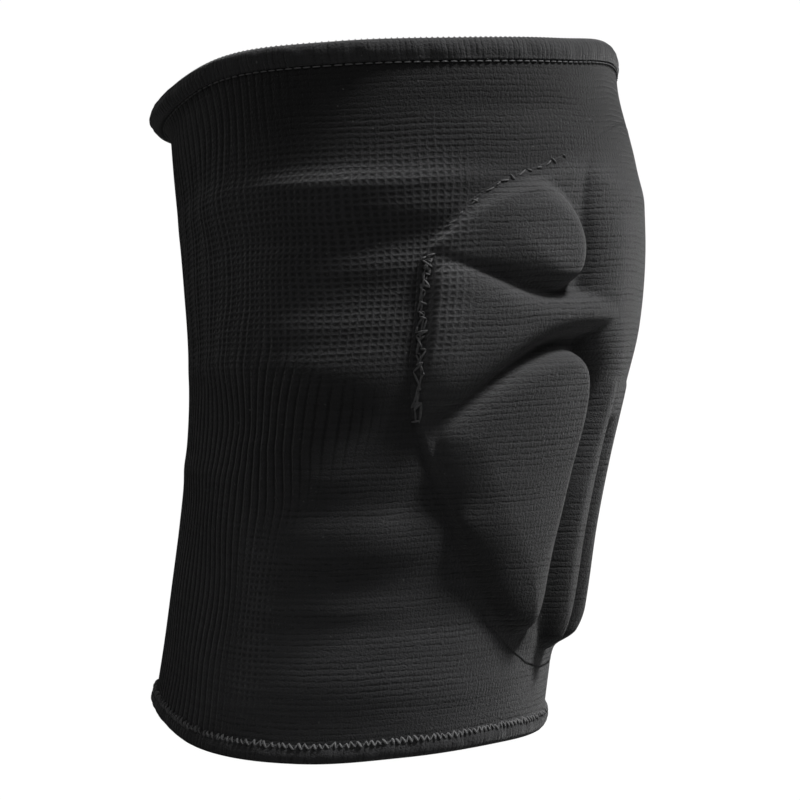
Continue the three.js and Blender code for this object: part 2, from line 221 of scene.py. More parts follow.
# Threads: rings along a stitch and sides round it, the numbers of stitches, the seam's threads as swing in
# degrees, number and radius in millimetres, and the millimetres of a degree and of the whole share, along
# which the seam's places are measured
THREAD_RINGS = 7
THREAD_SIDES = 6
TOP_STITCHES = 164
RIM_STITCHES = 260
OVERLOCK_STITCHES = 208
TACKS = 15
SEAM_THREADS = ((1.6, 30, 0.27), (0.9, 24, 0.24), (1.3, 17, 0.22))
LINE_SCALE = (1.065, 200)

# The studio's lamps: name, place, size, and share of the key light's power
LAMPS = [
    ("key_light", (-0.14, -0.78, 1.12), 0.28, 1.0),
    ("side_light", (-1.0, -0.5, 0.9), 0.5, 0.11),
    ("back_light", (-0.7, 0.85, 0.02), 0.3, 0.010),
    ("far_light", (1.0, 0.3, 0.7), 0.5, 0.12),
]
FLOOR_DROP = 0.6 * MM

Sizes = namedtuple(
    "Sizes", "length depth width wall cover_wall foam arm_share fold hem_top hem_bottom flare rib")


def metre_size(name, description, default):
    """A length that a user may change."""
    return bpy.props.FloatProperty(
        name=name, description=description, default=default, min=0, precision=5, unit="LENGTH",
        subtype="DISTANCE")


def cloth_colour(name, description, default):
    """A colour that a user may change."""
    return bpy.props.FloatVectorProperty(
        name=name, description=description, default=default, min=0, max=1, size=3, subtype="COLOR")


class KneePadSizes(bpy.types.PropertyGroup):
    """Sizes of the sleeve, the pads and the hems."""

    length: metre_size("Sleeve length", "Height of the sleeve from rim to rim at the front", 0.200)
    depth: metre_size("Knee depth", "Depth of the knee that the sections are shares of", 0.124)
    width: metre_size("Knee width", "Width of the knee that the sections are shares of", 0.120)
    wall: metre_size("Sleeve wall", "Thickness of the knit sleeve", 0.002)
    cover_wall: metre_size("Cover wall", "Thickness of the front cover", 0.0012)
    foam: metre_size("Foam thickness", "Thickness of the foam over the kneecap", 0.0098)
    arm_share: bpy.props.FloatProperty(
        name="Arm thickness", description="Thickness of the arms as a share of the foam's", default=0.76,
        min=0.1, max=1, subtype="FACTOR")
    fold: metre_size("Fold height", "How far the largest side fold stands out", 0.0026)
    hem_top: metre_size("Top hem height", "Height of the rolled top hem", 0.0062)
    hem_bottom: metre_size("Bottom hem height", "Height of the rolled bottom hem", 0.0055)
    flare: metre_size("Hem flare", "How far the top hem stands out at the back", 0.0045)
    rib: metre_size("Rib pitch", "Distance between the ribs at the back of the sleeve", 0.0026)


class KneePadColours(bpy.types.PropertyGroup):
    """Colours of the knit, the thread and the foam."""

    knit: cloth_colour("Sleeve knit", "Colour of the sleeve", (0.0145, 0.0145, 0.0152))
    cover: cloth_colour("Cover knit", "Colour of the front cover", (0.031, 0.031, 0.032))
    hem: cloth_colour("Hem knit", "Colour of the hems", (0.022, 0.022, 0.023))
    thread: cloth_colour("Thread", "Colour of the stitches", (0.125, 0.125, 0.127))
    foam: cloth_colour("Foam", "Colour of the foam pads", (0.045, 0.045, 0.047))


class KneePadStage(bpy.types.PropertyGroup):
    """The studio round the knee pad."""

    key: bpy.props.FloatProperty(
        name="Key light", description="Power of the main light in watts", default=30, min=0)
    fill: bpy.props.FloatProperty(
        name="Fill light", description="Strength of the surrounding light", default=0.014, min=0)
    lens: bpy.props.FloatProperty(
        name="Lens", description="Focal length in millimetres on a 36 mm sensor", default=96.5, min=10,
        max=300)
    distance: metre_size("Camera distance", "Distance from the camera to the leg's axis", 0.650)
    azimuth: bpy.props.FloatProperty(
        name="Azimuth", description="Angle of the camera round the leg from the front",
        default=math.radians(75), unit="ROTATION", subtype="ANGLE")
    height: bpy.props.FloatProperty(
        name="Camera height", description="Height of the camera over the knee's middle", default=-0.030,
        unit="LENGTH", subtype="DISTANCE")


def user_choices(context):
    """The sizes, as one fixed record so that a form worked out once is kept, and the colours."""
    group = context.scene.knee_pad_sizes
    return Sizes(*(getattr(group, name) for name in Sizes._fields)), context.scene.knee_pad_colours


# Forms


def smooth_step(low, high, value):
    """0 below low, 1 above high, and 3t^2 - 2t^3 between them."""
    t = np.clip((value - low) / (high - low), 0, 1)
    return t * t * (3 - 2 * t)


def curve_through(rows, place, mirror_ends=False):
    """Cubic through evenly spaced rows, read at places from 0 to 1: its slope at a row is half the step
    between the row's neighbours. Past its ends the curve goes on straight, or is mirrored."""
    rows = np.asarray(rows, float)
    before, after = (rows[1], rows[-2]) if mirror_ends else (2 * rows[0] - rows[1], 2 * rows[-1] - rows[-2])
    rows = np.concatenate([before[None], rows, after[None]])
    along = np.clip(place, 0, 1) * (len(rows) - 3)
    first = np.minimum(along.astype(int), len(rows) - 4)
    t = (along - first).reshape(np.shape(along) + (1,) * (rows.ndim - 1))
    a, b, c, d = (rows[first + step] for step in range(4))
    return b + t / 2 * (c - a + t * (2 * a - 5 * b + 4 * c - d + t * (3 * (b - c) + d - a)))


def signed_power(value, power):
    """The power of a value's size, with the value's sign."""
    return np.sign(value) * np.abs(value) ** power


def degree_arc(sizes):
    """Length along the skin of one degree round the knee."""
    return math.radians((sizes.width + sizes.depth) / 4)


def skin_rise(sizes, angle, share):
    """The folds, each a hill or a hollow that falls off as exp(-across^2 - along^2), and the hem's flare
    at the back."""
    turn = np.abs(angle)
    rise = np.zeros(np.broadcast(angle, share).shape)
    for middle, spread, level, reach, part in FOLDS:
        rise += sizes.fold * part * np.exp(-((turn - middle) / spread) ** 2 - ((share - level) / reach) ** 2)
    return rise + sizes.flare * smooth_step(115, 165, turn) * smooth_step(0.945, 1, share)


def skin(sizes, angle, share, lift):
    """Points at angles, shares and lifts: a squared ellipse at each height, pushed out along its normal.
    Sideways is a signed power of the sine, forwards the same power of the cosine, and the height runs
    straight from the bottom rim to the top rim at that angle."""
    angle, share, lift = np.broadcast_arrays(angle, share, lift)
    within = np.clip(share, 0, 1)
    front, back, side = np.moveaxis(curve_through(SECTIONS, within), -1, 0)
    top, bottom = np.moveaxis(curve_through(RIMS, np.abs(angle) / 180, mirror_ends=True), -1, 0)
    sine, cosine = np.sin(np.radians(angle)), np.cos(np.radians(angle))
    half_width = side * sizes.width
    half_depth = (front + back) / 2 * sizes.depth
    middle = (front - back) / 2 * sizes.depth
    normal_x = signed_power(sine, 2 - 2 / SQUARENESS) / half_width
    normal_y = signed_power(cosine, 2 - 2 / SQUARENESS) / half_depth
    size = np.hypot(normal_x, normal_y)
    out = (lift + skin_rise(sizes, angle, within)) / size
    right = half_width * signed_power(sine, 2 / SQUARENESS) + out * normal_x
    forward = middle + half_depth * signed_power(cosine, 2 / SQUARENESS) + out * normal_y
    return np.stack([-right, -forward, sizes.length * (bottom + (top - bottom) * share)], axis=-1)


def rounded_outline(outline, rounds=3):
    """A closed outline with its corners cut: each side keeps its middle half, once for each round."""
    points = np.asarray(outline, float)
    for _ in range(rounds):
        after = np.roll(points, -1, axis=0)
        points = np.stack([0.75 * points + 0.25 * after, 0.25 * points + 0.75 * after], axis=1).reshape(-1, 2)
    return points


def inside_distance(x, y, outline):
    """Distance of places inside a closed outline, negative outside: the shortest way to any of its
    straight sides, with the sign from how many sides a ray to the right crosses."""
    start = outline[:, None]
    step = (np.roll(outline, -1, axis=0) - outline)[:, None]
    place = np.stack([x.ravel(), y.ravel()], axis=-1)
    away = place - start
    along = np.clip((away * step).sum(-1) / (step * step).sum(-1), 0, 1)
    nearest = np.linalg.norm(away - along[..., None] * step, axis=-1).min(axis=0)
    rises = (start[..., 1] <= place[:, 1]) != (start[..., 1] + step[..., 1] <= place[:, 1])
    with np.errstate(divide="ignore", invalid="ignore"):
        crossing = start[..., 0] + (place[:, 1] - start[..., 1]) / step[..., 1] * step[..., 0]
    crossed = (rises & (crossing > place[:, 0])).sum(axis=0)
    return np.where(crossed % 2 == 1, nearest, -nearest).reshape(x.shape)


def lobe_height(sizes, lobe, angle, share):
    """Height of one foam form: the foam's thickness there times a quarter round across its edge, the
    square root of 1 - (1 - inside / edge)^2, whose edge widens from firm to soft between the form's two
    places. The arms thin down to their own share of it where they leave the middle band."""
    scale = np.array([degree_arc(sizes), sizes.length])
    turn = np.abs(angle)
    inside = inside_distance(turn * scale[0], share * scale[1], rounded_outline(lobe.outline) * scale)
    start, end = np.array(lobe.start) * scale, np.array(lobe.end) * scale
    way = end - start
    along = ((turn * scale[0] - start[0]) * way[0] + (share * scale[1] - start[1]) * way[1]) / (way @ way)
    edge = lobe.firm + (lobe.soft - lobe.firm) * smooth_step(0, 1, along)
    quarter = np.sqrt(1 - (1 - np.clip(inside / edge, 0, 1)) ** 2)
    up = curve_through(FOAM_UP, share)
    across = curve_through(FOAM_ROUND, turn / (FOAM_ROUND_STEP * (len(FOAM_ROUND) - 1)))
    portion = 1.0
    if lobe is ARM_LOBE:
        portion = sizes.arm_share + (1 - sizes.arm_share) * smooth_step(44, 22, turn)
    return sizes.foam * portion * up * across * quarter


def blurred(field, spread):
    """A field softened along both axes by a bell curve that spreads over so many cells."""
    reach = int(math.ceil(3 * spread))
    bell = np.exp(-0.5 * (np.arange(-reach, reach + 1) / spread) ** 2)
    bell /= bell.sum()
    for axis in (0, 1):
        widths = [(0, 0), (0, 0)]
        widths[axis] = (reach, reach)
        wide = np.pad(field, widths, mode="edge")
        field = sum(weight * np.take(wide, np.arange(field.shape[axis]) + shift, axis=axis)
                    for shift, weight in enumerate(bell))
    return field


def cover_edges(angle):
    """Shares of the cover's bottom and top edges at angles, straight between the tables' places."""
    return [np.interp(np.abs(angle), *np.transpose(edge)) for edge in (COVER_BOTTOM, COVER_TOP)]


@lru_cache(maxsize=None)
def foam_fields(sizes):
    """Heights of the kneecap pad and of both side pads on the relief's grid, one row for each share."""
    angle, share = np.meshgrid(RELIEF_ANGLES, RELIEF_SHARES)
    kneecap = [lobe_height(sizes, lobe, angle, share) for lobe in KNEECAP_LOBES]
    sides = {name: lobe_height(sizes, lobe, angle, share) for name, lobe in SIDE_LOBES}
    return {"kneecap_pad": np.max(kneecap, axis=0), **sides}


@lru_cache(maxsize=None)
def cover_field(sizes):
    """Lift of the cover's outside: the knit is drawn tight over the foam. It is the higher of the foam
    and its blur, so it bridges narrow grooves, and a last light blur rounds its creases."""
    foam = np.max(list(foam_fields(sizes).values()), axis=0)
    mirrored = np.concatenate([foam[:, :0:-1], foam], axis=1)
    drawn = np.maximum(mirrored, blurred(mirrored, BRIDGE_SPREAD / RELIEF_CELL))
    drawn = blurred(drawn, CREASE_SPREAD / RELIEF_CELL)[:, foam.shape[1] - 1:]
    return sizes.wall + GAP + sizes.cover_wall + drawn


def read_field(field, angle, share):
    """A relief field at angles and shares, straight between its grid's rows and columns."""
    column = np.clip(np.abs(angle), 0, RELIEF_ANGLES[-1]) / RELIEF_ANGLES[1]
    first, second, last = RELIEF_SHARES[0], RELIEF_SHARES[1], RELIEF_SHARES[-1]
    row = (np.clip(share, first, last) - first) / (second - first)
    left = np.minimum(column.astype(int), field.shape[1] - 2)
    low = np.minimum(row.astype(int), field.shape[0] - 2)
    across, up = column - left, row - low
    lower = field[low, left] * (1 - across) + field[low, left + 1] * across
    upper = field[low + 1, left] * (1 - across) + field[low + 1, left + 1] * across
    return lower * (1 - up) + upper * up


def cover_blend(sizes, angle, share):
    """0 at the cover's own edges and 1 past a taper inside them, which is longer at the front."""
    turn = np.abs(angle)
    bottom, top = cover_edges(angle)
    below = (share - bottom) * sizes.length / (EDGE_TAPER * (1 + LONGER_BELOW * smooth_step(40, 20, turn)))
    above = (top - share) * sizes.length / (EDGE_TAPER * (1 + LONGER_ABOVE * smooth_step(36, 8, turn)))
    beside = (COVER_SIDE - turn) * degree_arc(sizes) / EDGE_TAPER
    return smooth_step(0, 1, np.minimum(np.minimum(below, above), beside))


def cover_lift(sizes, angle, share):
    """Lift of the cover's outside, thinned to a lip on the sleeve along its own edges."""
    full = read_field(cover_field(sizes), angle, share)
    thin = sizes.wall + LIP_OUTSIDE
    return thin + (full - thin) * cover_blend(sizes, angle, share)


def outer_lift(sizes, angle, share):
    """Lift of whatever knit lies outermost, the cover or the sleeve."""
    bottom, top = cover_edges(angle)
    inside = (np.abs(angle) < COVER_SIDE) & (share > bottom) & (share < top)
    return np.where(inside, cover_lift(sizes, angle, share), sizes.wall)


def knit_place(sizes, angle, share):
    """Place in the knit in millimetres, round along the courses and up the wales. Behind the cover the
    wales waver by a sum of sines that closes round the leg, and the ribs' grooves follow them."""
    turn = np.radians(angle)
    x = angle * degree_arc(sizes) / MM
    y = share * sizes.length / MM
    waver = (0.9 * np.sin(y / 17 + 5 * turn) + 0.45 * np.sin(y / 7.3 + 9 * turn + 1)
             + 0.7 * np.sin(y / 31 - 3 * turn + 2))
    return np.stack([x + waver * smooth_step(55, 95, np.abs(angle)), y + 0 * x], axis=-1)


def rib_share(angle, share):
    """How much the knit is ribbed: at the back, further round to the sides beside the arms and towards
    the top rim, and less just under that rim."""
    edge = 98 + 8 * np.sin(share * 9 + 1) - 14 * smooth_step(0.85, 1.0, share)
    edge -= 22 * np.exp(-((share - 0.48) / 0.09) ** 2)
    return smooth_step(edge, edge + 22, np.abs(angle)) * (1 - 0.45 * smooth_step(0.84, 0.94, share))


def waffle_share(angle, share):
    """How much of the knit shows as open cells: at the sides and over the folds in the upper half, and in
    a narrow strip beside the ribs in the lower half."""
    turn = np.abs(angle)
    upper = smooth_step(52, 70, turn) * smooth_step(0.50, 0.61, share) * smooth_step(0.94, 0.76, share)
    strip = (0.75 * np.exp(-((turn - 106) / 6) ** 2) * smooth_step(0.38, 0.28, share)
             * smooth_step(0.04, 0.12, share))
    return np.maximum(upper, strip)


# Meshes


def ring_faces(rows, columns):
    """Quads of a grid of points that closes both ways, in the order of the points."""
    row, column = np.meshgrid(np.arange(rows), np.arange(columns), indexing="ij")
    up, on = (row + 1) % rows, (column + 1) % columns
    corners = [row * columns + column, up * columns + column, up * columns + on, row * columns + on]
    return np.stack(corners, axis=-1).reshape(-1, 4)


def grid_faces(rows, columns):
    """Quads of an open grid of points, in the order of the points."""
    row, column = np.meshgrid(np.arange(rows - 1), np.arange(columns - 1), indexing="ij")
    first = row * columns + column
    return np.stack([first, first + columns, first + columns + 1, first + 1], axis=-1).reshape(-1, 4)


def ring_corners(wide):
    """The value at each corner of ring_faces, from a grid with one column past the ring's last."""
    wide = np.concatenate([wide, wide[:1]], axis=0)
    corners = [wide[:-1, :-1], wide[1:, :-1], wide[1:, 1:], wide[:-1, 1:]]
    return np.stack(corners, axis=2).reshape(-1, wide.shape[-1])


def both_ways(half):
    """Angles from -180 up to, but without, 180, from angles between 0 and 180."""
    return np.concatenate([-half[::-1], half[1:-1]])


def both_sides(values, size=1):
    """Values of a shell's outside, repeated for its inside."""
    return np.concatenate([values.reshape(-1, size)] * 2)


def enclosed_volume(points, faces):
    """Signed volume of a closed mesh: a sixth of the sum of each triangle's triple product."""
    fan = [faces[:, [0, k, k + 1]] for k in range(1, faces.shape[1] - 1)]
    corners = points[np.concatenate(fan)]
    return np.einsum("ij,ij->", corners[:, 0], np.cross(corners[:, 1], corners[:, 2])) / 6


def add_object(name, data):
    """A new object in the scene."""
    made = bpy.data.objects.new(name, data)
    bpy.context.scene.collection.objects.link(made)
    return made


def add_piece(name, points, faces, places, material, fields=None):
    """A smooth mesh from arrays of points, faces and each face corner's place in the knit, facing
    outwards."""
    points = np.asarray(points, float).reshape(-1, 3)
    places = np.asarray(places, float).reshape(len(faces), -1, 2)
    if enclosed_volume(points, faces) < 0:
        faces, places = faces[:, ::-1], places[:, ::-1]
    mesh = bpy.data.meshes.new(name)
    mesh.from_pydata(points, [], faces)
    layer = mesh.uv_layers.new(name="knit")
    layer.data.foreach_set("uv", np.ascontiguousarray(places, np.float32).ravel())
    for key, values in (fields or {}).items():
        attribute = mesh.attributes.new(key, "FLOAT", "POINT")
        attribute.data.foreach_set("value", np.asarray(values, np.float32).ravel())
    mesh.polygons.foreach_set("use_smooth", np.ones(len(faces), bool))
    mesh.materials.append(material)
    mesh.update()
    piece = add_object(name, mesh)
    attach(piece, "root")
    return piece


# Finishes


class Net:
    """A node tree being wired: each call adds a node and gives back its output."""

    def __init__(self, tree):
        self.tree = tree
        tree.nodes.clear()

    def node(self, kind, **settings):
        made = self.tree.nodes.new(kind)
        for key, value in settings.items():
            setattr(made, key, value)
        return made

    def feed(self, socket, value):
        if isinstance(value, bpy.types.NodeSocket):
            self.tree.links.new(value, socket)
        else:
            socket.default_value = value

    def math(self, operation, first, second=0.0):
        made = self.node("ShaderNodeMath", operation=operation)
        self.feed(made.inputs[0], first)
        self.feed(made.inputs[1], second)
        return made.outputs[0]

    def plus(self, first, second):
        return self.math("ADD", first, second)

    def minus(self, first, second):
        return self.math("SUBTRACT", first, second)

    def times(self, *factors):
        return reduce(lambda first, second: self.math("MULTIPLY", first, second), factors)

    def lines(self, value, pitch, power):
        """Lines a pitch apart: the size of the cosine of half a turn for each pitch, to a power that
        narrows them."""
        turn = self.math("DIVIDE", self.times(value, math.pi), pitch)
        return self.math("POWER", self.math("ABSOLUTE", self.math("COSINE", turn)), power)

    def mix(self, part, first, second):
        """first where part is 0 and second where it is 1."""
        made = self.node("ShaderNodeMix", data_type="FLOAT", clamp_factor=True)
        for name, value in (("Factor", part), ("A", first), ("B", second)):
            self.feed(made.inputs[name], value)
        return made.outputs["Result"]

    def blend_colour(self, part, first, second, kind="MIX"):
        """first where part is 0, and second, or their product, where it is 1."""
        made = self.node("ShaderNodeMix", data_type="RGBA", blend_type=kind, clamp_factor=True)
        for index, value in ((0, part), (6, first), (7, second)):
            self.feed(made.inputs[index], value)
        return made.outputs[2]

    def parts(self, vector):
        """The x and the y of a vector."""
        made = self.node("ShaderNodeSeparateXYZ")
        self.feed(made.inputs[0], vector)
        return made.outputs["X"], made.outputs["Y"]

    def scaled(self, vector, amounts):
        made = self.node("ShaderNodeVectorMath", operation="MULTIPLY")
        self.feed(made.inputs[0], vector)
        self.feed(made.inputs[1], amounts)
        return made.outputs[0]

    def noise(self, vector, scale, detail=2.0, roughness=0.5):
        made = self.node("ShaderNodeTexNoise")
        names = ("Vector", "Scale", "Detail", "Roughness")
        for name, value in zip(names, (vector, scale, detail, roughness)):
            self.feed(made.inputs[name], value)
        return made.outputs["Fac"]

    def ramp(self, value, low, high, to_low=0.0, to_high=1.0):
        """value from low to high, turned into to_low to to_high with soft ends."""
        made = self.node("ShaderNodeMapRange", interpolation_type="SMOOTHSTEP")
        names = ("Value", "From Min", "From Max", "To Min", "To Max")
        for name, amount in zip(names, (value, low, high, to_low, to_high)):
            self.feed(made.inputs[name], amount)
        return made.outputs["Result"]

    def patches(self, vector, scale, detail, *ends):
        """Noise put through a ramp between its ends."""
        return self.ramp(self.noise(vector, scale, detail), *ends)

    def attribute(self, key):
        return self.node("ShaderNodeAttribute", attribute_name=key).outputs["Fac"]

    def knit_map(self):
        return self.node("ShaderNodeUVMap", uv_map="knit").outputs["UV"]

    def object_place(self):
        return self.node("ShaderNodeTexCoord").outputs["Object"]

    def group(self, name, feeds):
        """A shared group with its inputs set or linked. It is made once, when a material first needs it."""
        tree = bpy.data.node_groups.get(name) or GROUP_MAKERS[name]()
        made = self.node("ShaderNodeGroup", node_tree=tree)
        for key, value in feeds.items():
            self.feed(made.inputs[key], value)
        return made.outputs


def new_group(name, inputs, outputs):
    """An empty node group with named sockets, and its input and output nodes."""
    tree = bpy.data.node_groups.new(name, "ShaderNodeTree")
    for label, kind, default in inputs:
        socket = tree.interface.new_socket(name=label, in_out="INPUT", socket_type="NodeSocket" + kind)
        if default is not None:
            socket.default_value = default
    for label, kind in outputs:
        tree.interface.new_socket(name=label, in_out="OUTPUT", socket_type="NodeSocket" + kind)
    net = Net(tree)
    return net, net.node("NodeGroupInput").outputs, net.node("NodeGroupOutput").inputs


def knit_relief_group():
    """Height of the knit from 0 in its gaps to 1 on its loops. Plain courses are flat rows with a narrow
    groove between them, which breaks off and fades in patches, crossed by faint wales; ribs have a narrow
    groove too; open cells are the product of two squared cosines cut out of the cloth; and fibres roughen
    all of them. Each groove is a cosine to a high power, and slow and quick noise bend them."""
    net, given, out = new_group(
        "Knit relief",
        [("Place", "Vector", None), ("Object", "Vector", None), ("Ribs", "Float", 0.0),
         ("Cells", "Float", 0.0), ("Course", "Float", 1.6), ("Wale", "Float", 1.25),
         ("Rib pitch", "Float", 2.6)],
        [("Height", "Float")])
    place, solid = given["Place"], given["Object"]
    slow = net.minus(net.noise(solid, 45, 1.0), 0.5)
    quick = net.minus(net.noise(solid, 620, 1.0), 0.5)
    across, up = net.parts(place)
    x = net.plus(across, net.times(quick, 0.9))
    y = net.plus(up, net.plus(net.times(slow, 1.6), net.times(quick, 0.5)))
    broken = net.patches(net.scaled(place, (0.55, 0.9, 0.0)), 1.0, 2.0, 0.32, 0.62, 0.2, 1.0)
    patchy = net.patches(net.scaled(place, (0.02, 0.16, 0.0)), 1.0, 2.0, 0.35, 0.65, 0.35, 1.0)
    line = net.times(net.lines(y, given["Course"], 5.0), net.times(net.times(broken, patchy), 0.75))
    wale = net.times(net.lines(x, given["Wale"], 3.0), 0.10)
    plain = net.minus(net.minus(1.0, line), wale)
    groove = net.lines(across, given["Rib pitch"], 7.0)
    rib = net.minus(net.minus(1.0, groove), net.times(line, 0.18))
    holes = net.times(net.lines(x, CELL_WIDE, 2.0), net.lines(y, CELL_HIGH, 2.0))
    cells = net.minus(1.1, net.times(net.math("POWER", holes, 0.7), 1.5))
    knit = net.mix(given["Cells"], net.mix(given["Ribs"], plain, rib), cells)
    fibre = net.times(net.minus(net.noise(solid, 1700, 3.0, 0.7), 0.5), 1.5)
    net.feed(out["Height"], net.plus(knit, fibre))
    return net.tree


def cloth_tone_group():
    """Colour and roughness of worn cloth with painted shade: the knit's gaps are darkened and its loops
    lightened as painted shade, and the cloth is streaked along its courses, mottled over larger patches,
    paler by Cells where the knit is stretched open, and flecked with pale lint. The painted rim shade is
    painted light and
    shade: it lightens the cloth towards the bottom rim and darkens it near the top rim, or the other way
    round below 0."""
    net, given, out = new_group(
        "Cloth tone",
        [("Colour", "Color", (0.02, 0.02, 0.02, 1)), ("Height", "Float", 1.0), ("Place", "Vector", None),
         ("Object", "Vector", None), ("Lint", "Float", 0.4), ("Cells", "Float", 0.0), ("Fade", "Float", 0.0)],
        [("Colour", "Color"), ("Roughness", "Float")])
    place, solid = given["Place"], given["Object"]
    # Painted shade: the knit's gaps are darkened and its loops lightened, following the relief's height
    painted_gap_shade = net.ramp(given["Height"], 0.15, 0.95, 0.58, 1.08)
    streak = net.patches(net.scaled(place, (0.05, 0.9, 0.0)), 1.0, 3.0, 0.3, 0.7, 0.82, 1.18)
    patch = net.patches(solid, 26, 2.0, 0.3, 0.7, 0.86, 1.14)
    stretched = net.plus(1.0, net.times(given["Cells"], 0.7))
    # Painted light and shade: the cloth is lightened towards the bottom rim and darkened near the top rim, or
    # the other way round when the input is below 0
    share = net.math("DIVIDE", net.parts(place)[1], 200.0)
    below = net.ramp(share, 0.12, 0.55, 1.0, 0.0)
    above = net.ramp(share, 0.80, 0.92, 0.0, -0.8)
    rim_shaded = net.plus(1.0, net.times(net.plus(below, above), given["Fade"]))
    tone = net.times(painted_gap_shade, streak, patch, stretched, rim_shaded)
    shaded = net.blend_colour(1.0, given["Colour"], tone, "MULTIPLY")
    lint = net.times(net.patches(solid, 900, 1.0, 0.745, 0.80), given["Lint"])
    net.feed(out["Colour"], net.blend_colour(lint, shaded, (0.16, 0.16, 0.16, 1)))
    net.feed(out["Roughness"], net.ramp(given["Height"], 0.0, 1.0, 0.96, 0.82))
    return net.tree


GROUP_MAKERS = {"Knit relief": knit_relief_group, "Cloth tone": cloth_tone_group}


def new_material(name):
    """A material and its net, empty."""
    material = bpy.data.materials.new(name)
    material.use_nodes = True
    return material, Net(material.node_tree)


def shared_material(name, make, *arguments, **options):
    """A material that is made once and shared by its pieces."""
    return bpy.data.materials.get(name) or make(name, *arguments, **options)


def finish_surface(net, tone, height, depth, sheen):
    """The surface shader of a cloth, with its relief as a bump so many metres deep."""
    shader = net.node("ShaderNodeBsdfPrincipled")
    net.feed(shader.inputs["Base Color"], tone["Colour"])
    net.feed(shader.inputs["Roughness"], tone["Roughness"])
    shader.inputs["Specular IOR Level"].default_value = 0.25
    shader.inputs["Sheen Weight"].default_value = sheen
    shader.inputs["Sheen Roughness"].default_value = 0.45
    bump = net.node("ShaderNodeBump")
    bump.inputs["Strength"].default_value = 1.0
    bump.inputs["Distance"].default_value = depth
    net.feed(bump.inputs["Height"], height)
    net.feed(shader.inputs["Normal"], bump.outputs[0])
    net.feed(net.node("ShaderNodeOutputMaterial").inputs["Surface"], shader.outputs[0])


def knit_material(name, colour, course, wale, pitch, depth, zoned=True, fade=0.0, edge=None):
    """A knit cloth whose ribs and open cells lie where the piece's own attributes say, with painted light and
    shade towards the rims. Towards its edge it takes on the colour and the painted light and shade of the
    cloth that it is sewn to, given as edge."""
    material, net = new_material(name)
    place, solid = net.knit_map(), net.object_place()
    both = {"Place": place, "Object": solid}
    relief = {"Course": course, "Wale": wale, "Rib pitch": pitch}
    if zoned:
        both["Cells"] = net.attribute("cells")
        relief["Ribs"] = net.attribute("ribs")
    height = net.group("Knit relief", {**both, **relief})["Height"]
    tint = (*colour, 1)
    if edge:
        join = net.attribute("join")
        tint = net.blend_colour(join, (*edge[0], 1), tint)
        fade = net.mix(join, edge[1], fade)
    tone = net.group("Cloth tone", {"Colour": tint, "Height": height, "Lint": 0.4, "Fade": fade, **both})
    finish_surface(net, tone, height, depth, sheen=0.18)
    return material


def thread_material(name, colour):
    """Twisted thread: slanting plies across it, each a sine of the place along and around it."""
    material, net = new_material(name)
    place, solid = net.knit_map(), net.object_place()
    along, around = net.parts(place)
    slant = net.plus(net.times(along, 9.0), net.times(around, 2 * math.pi))
    ply = net.math("ABSOLUTE", net.math("SINE", slant))
    # Painted shade darkens the grooves between the plies, through the Cloth tone group
    tone = net.group("Cloth tone", {
        "Colour": (*colour, 1), "Height": ply, "Place": place, "Object": solid, "Lint": 0.2})
    finish_surface(net, tone, ply, 0.08 * MM, sheen=0.2)
    return material


def foam_material(name, colour):
    """Closed-cell foam: small round cells of two sizes."""
    material, net = new_material(name)
    solid = net.object_place()
    cells = net.node("ShaderNodeTexVoronoi", feature="SMOOTH_F1")
    net.feed(cells.inputs["Vector"], solid)
    cells.inputs["Scale"].default_value = 1400
    fine = net.noise(solid, 3000, 2.0)
    height = net.plus(net.times(cells.outputs["Distance"], 0.8), net.times(fine, 0.3))
    # Painted shade darkens the pits of the foam's cells, through the Cloth tone group
    tone = net.group("Cloth tone", {
        "Colour": (*colour, 1), "Height": height, "Place": solid, "Object": solid, "Lint": 0.0})
    finish_surface(net, tone, height, 0.15 * MM, sheen=0.0)
    return material


# Sleeve, cover and pads


def rib_pitch(sizes):
    """The rib pitch, adjusted so that a whole number of ribs goes round the leg."""
    round_leg = 360 * degree_arc(sizes)
    return round_leg / round(round_leg / sizes.rib)


def sleeve_surface(sizes):
    """The sleeve as a ring: at each angle a loop runs up its outside and down its inside. The outside's
    lift is the wall less a bell-shaped groove between each two ribs, and the ribs wander round the leg by
    two sines. The columns are coarse under the cover and fine where the ribs stand out."""
    half = np.concatenate([np.arange(0, 60, 2.0), np.arange(60, 96, 1.0), np.linspace(96, 180, 200)])
    angles = both_ways(half)
    end = (HEM_SEAT + GAP) / sizes.length
    shares = np.concatenate([np.linspace(end, 1 - end, OUTSIDE_ROWS), np.linspace(1 - end, end, INSIDE_ROWS)])
    wide_angle, wide_share = np.meshgrid(np.append(angles, 180.0), shares)
    places = knit_place(sizes, wide_angle, wide_share)
    angle, share = wide_angle[:, :-1], wide_share[:, :-1]
    ribbed = rib_share(angle, share)
    off = places[:, :-1, 0] / (rib_pitch(sizes) / MM)
    off = off - np.round(off)
    is_outside = (np.arange(len(shares)) < OUTSIDE_ROWS)[:, None]
    near_rim = smooth_step(0, 0.04, share) * smooth_step(0, 0.16, 1 - share)
    groove = RIB_DEPTH * ribbed * near_rim * np.exp(-(off / RIB_GROOVE) ** 2)
    lift = np.where(is_outside, sizes.wall - groove, 0.0)
    turn = np.radians(angle)
    wander = np.sin(12 * share + 5 * turn) + 0.6 * np.sin(27 * share - 7 * turn + 1)
    wander *= RIB_WANDER * ribbed * smooth_step(0, 0.12, np.minimum(share, 1 - share))
    return skin(sizes, angle + wander, share, lift), places, angle, share


